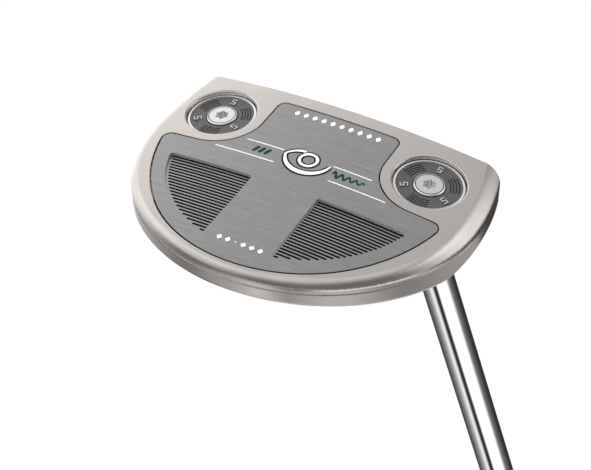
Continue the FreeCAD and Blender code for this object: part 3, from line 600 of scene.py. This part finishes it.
# ---- light ----
# soft boxes round the putter, in degrees: where each one's middle is (azimuth from +X towards +Y, elevation),
# its roll, then half its width and the soft edge beyond it, half its height and that soft edge; last its
# strength. These values were found by a fit of the reflections, not set by hand.
SOFT_BOXES = [
    (-36, 2, 3, 2, 46, 35, 7, 1.03),        # upright strip on the heel side of the face
    (-148, -5, 7, 16, 60, 16, 50, 1.04),    # wide box on the toe side of the face
    (15, -80, -4, 18, 61, 7, 46, 0.64),     # below
    (77, 80, 1, 30, 17, 53, 6, 0.47),       # above
    (142, -29, -2, 2, 57, 11, 37, 0.65),    # below the toe's back
    (-135, 22, 2, 10, 18, 14, 6, 0.40),     # small one in front, above the wide box
]
ROOM = 0.2                          # strength of the room between the boxes
STRIP_BAND = (0.52, 0.57, 0.70, 0.74)   # the strips fill these directions: cosines from the shaft's axis
WIDE_EDGE = (-118, -78)             # soft edges of the strips, in degrees about the shaft's axis
HAZE_EDGE = (-150, -104)
DARK_EDGE = (-10, -26)
THIN_EDGE = (2, 21)
THIN_MIDDLE, THIN_FALL = 26.0, 25   # the thin strip is full up to here, then fades over this many degrees


def soft_box(nt, way, box):
    """Brightness of one soft box in the direction way."""
    azimuth, elevation, roll = (math.radians(v) for v in box[:3])
    half_wide, edge_wide, half_tall, edge_tall, strength = box[3:]
    flat = math.cos(elevation)
    middle = Vector((math.cos(azimuth) * flat, math.sin(azimuth) * flat, math.sin(elevation)))
    side = Vector((-math.sin(azimuth), math.cos(azimuth), 0))
    rise = middle.cross(side)
    side, rise = side * math.cos(roll) + rise * math.sin(roll), rise * math.cos(roll) - side * math.sin(roll)
    across = nt.math("ABSOLUTE", nt.math("ARCTAN2", nt.dot(way, side), nt.dot(way, middle)))
    along = nt.math("ABSOLUTE", nt.math("ARCSINE", nt.dot(way, rise)))
    a0, a1 = math.radians(half_wide), math.radians(half_wide + edge_wide)
    b0, b1 = math.radians(half_tall), math.radians(half_tall + edge_tall)
    return nt.math("MULTIPLY", nt.step(across, a1, a0, 0.0, strength), nt.step(along, b1, b0))


def shaft_strips(nt, way):
    """Long strip boxes parallel to the shaft, by the angle in degrees about its axis."""
    beside = AXIS.cross(ACROSS)
    angle = nt.math("ARCTAN2", nt.dot(way, beside), nt.dot(way, ACROSS))
    angle = nt.math("MULTIPLY", angle, 180 / math.pi)
    wide_edge = nt.step(angle, *WIDE_EDGE)
    wide = nt.math("MULTIPLY", nt.math("MULTIPLY", wide_edge, wide_edge), nt.step(angle, *DARK_EDGE))
    haze = nt.math("MULTIPLY", nt.step(angle, *HAZE_EDGE), nt.step(angle, *DARK_EDGE))
    past = nt.math("MULTIPLY", nt.math("SUBTRACT", THIN_MIDDLE, angle), 1 / THIN_FALL)
    fall = nt.math("MINIMUM", nt.math("EXPONENT", past), 1.0)
    thin = nt.math("MULTIPLY", nt.step(angle, *THIN_EDGE), fall)
    dim = nt.math("MULTIPLY_ADD", thin, 0.85, 0.035)
    return nt.math("MULTIPLY_ADD", wide, 1.1, nt.math("MULTIPLY_ADD", haze, 0.12, dim))


def studio_world():
    """White for the camera; for everything else a studio of soft boxes in a dim room."""
    world = bpy.data.worlds.new("studio")
    bpy.context.scene.world = world
    world.use_nodes = True
    nt = Nodes(world.node_tree)
    way = nt.add("ShaderNodeTexCoord").outputs["Generated"]
    way = nt.add("ShaderNodeVectorMath", {0: way}, operation="NORMALIZE").outputs[0]
    total = ROOM
    for box in SOFT_BOXES:
        total = nt.math("ADD", soft_box(nt, way, box), total)
    lean = nt.dot(way, AXIS)
    low, low_full, high_full, high = STRIP_BAND
    band = nt.math("MULTIPLY", nt.step(lean, low, low_full), nt.step(lean, high, high_full))
    inputs = {0: band, 2: total, 3: shaft_strips(nt, way)}
    total = nt.add("ShaderNodeMix", inputs, data_type="FLOAT").outputs[0]
    for_all = nt.add("ShaderNodeBackground", {"Color": rgb(1, 1, 1), "Strength": total})
    for_camera = nt.add("ShaderNodeBackground", {"Color": rgb(1, 1, 1), "Strength": 1.0})
    seen = nt.add("ShaderNodeLightPath").outputs["Is Camera Ray"]
    mixed = nt.add("ShaderNodeMixShader", {0: seen, 1: for_all.outputs[0], 2: for_camera.outputs[0]})
    nt.add("ShaderNodeOutputWorld", {0: mixed.outputs[0]})


def area_light(name, place, target, size, power):
    """A soft square light that only lights matt surfaces; the metals take theirs from the studio."""
    data = bpy.data.lights.new(name, "AREA")
    data.shape = "SQUARE"
    data.size = size
    data.energy = power
    light = bpy.data.objects.new(name, data)
    bpy.context.scene.collection.objects.link(light)
    light.location = place
    way = Vector(target) - Vector(place)
    light.rotation_mode = "QUATERNION"
    light.rotation_quaternion = way.to_track_quat("-Z", "Y")
    light.visible_glossy = False


studio_world()
area_light("key_above", (-0.9, -1.1, 2.0), (0.1, 0, 0.3), 1.2, 34)
area_light("fill_above", (1.4, 0.9, 1.6), (0.1, 0, 0.3), 1.5, 16)
area_light("key_below", (-0.5, 0.1, -0.9), (0, 0, 0), 0.7, 9)


# ---- floor ----
def floor():
    """Plain pale floor under the sole. It is seen from above only, so the low camera sees past it."""
    size = 6.0
    mesh = bpy.data.meshes.new("floor")
    corners = [(-size, -size, 0), (size, -size, 0), (size, size, 0), (-size, size, 0)]
    mesh.from_pydata(corners, [], [(0, 1, 2, 3)])
    ground = bpy.data.objects.new("floor", mesh)
    ground.location.z = -0.0004
    bpy.context.scene.collection.objects.link(ground)
    material = bpy.data.materials.new("floor_pale")
    material.use_nodes = True
    nt = Nodes(material.node_tree)
    matt = nt.add("ShaderNodeBsdfDiffuse", {"Color": rgb(0.24, 0.24, 0.24)})
    glow = nt.add("ShaderNodeEmission", {"Color": rgb(0.66, 0.66, 0.66)})
    pale = nt.add("ShaderNodeAddShader", {0: matt.outputs[0], 1: glow.outputs[0]})
    clear = nt.add("ShaderNodeBsdfTransparent")
    back = nt.add("ShaderNodeNewGeometry").outputs["Backfacing"]
    seen = nt.add("ShaderNodeLightPath").outputs["Is Camera Ray"]
    shown = nt.math("MULTIPLY", seen, nt.math("SUBTRACT", 1.0, back))
    mixed = nt.add("ShaderNodeMixShader", {0: shown, 1: clear.outputs[0], 2: pale.outputs[0]})
    nt.add("ShaderNodeOutputMaterial", {0: mixed.outputs[0]})
    mesh.materials.append(material)


floor()


# ---- camera ----
def main_camera():
    """Looks up at the sole from behind the heel."""
    centre = Vector((150.684, 272.394, -262.177)) * MM
    azimuth, elevation, roll = (math.radians(v) for v in (29.302, 42.695, -1.0278))
    flat = math.cos(elevation)
    back = Vector((math.sin(azimuth) * flat, math.cos(azimuth) * flat, -math.sin(elevation)))
    right = Vector((math.cos(azimuth), -math.sin(azimuth), 0))
    up = back.cross(right)
    c, s = math.cos(roll), math.sin(roll)
    x_axis, y_axis = right * c + up * s, up * c - right * s
    data = bpy.data.cameras.new("main")
    data.lens = 91.688
    data.sensor_width = 36.0
    data.clip_start = 0.01
    camera = bpy.data.objects.new("main", data)
    bpy.context.scene.collection.objects.link(camera)
    camera.matrix_world = Matrix((
        (x_axis.x, y_axis.x, back.x, centre.x),
        (x_axis.y, y_axis.y, back.y, centre.y),
        (x_axis.z, y_axis.z, back.z, centre.z),
        (0, 0, 0, 1),
    ))
    bpy.context.scene.camera = camera


main_camera()
bpy.context.scene.view_settings.view_transform = "Standard"
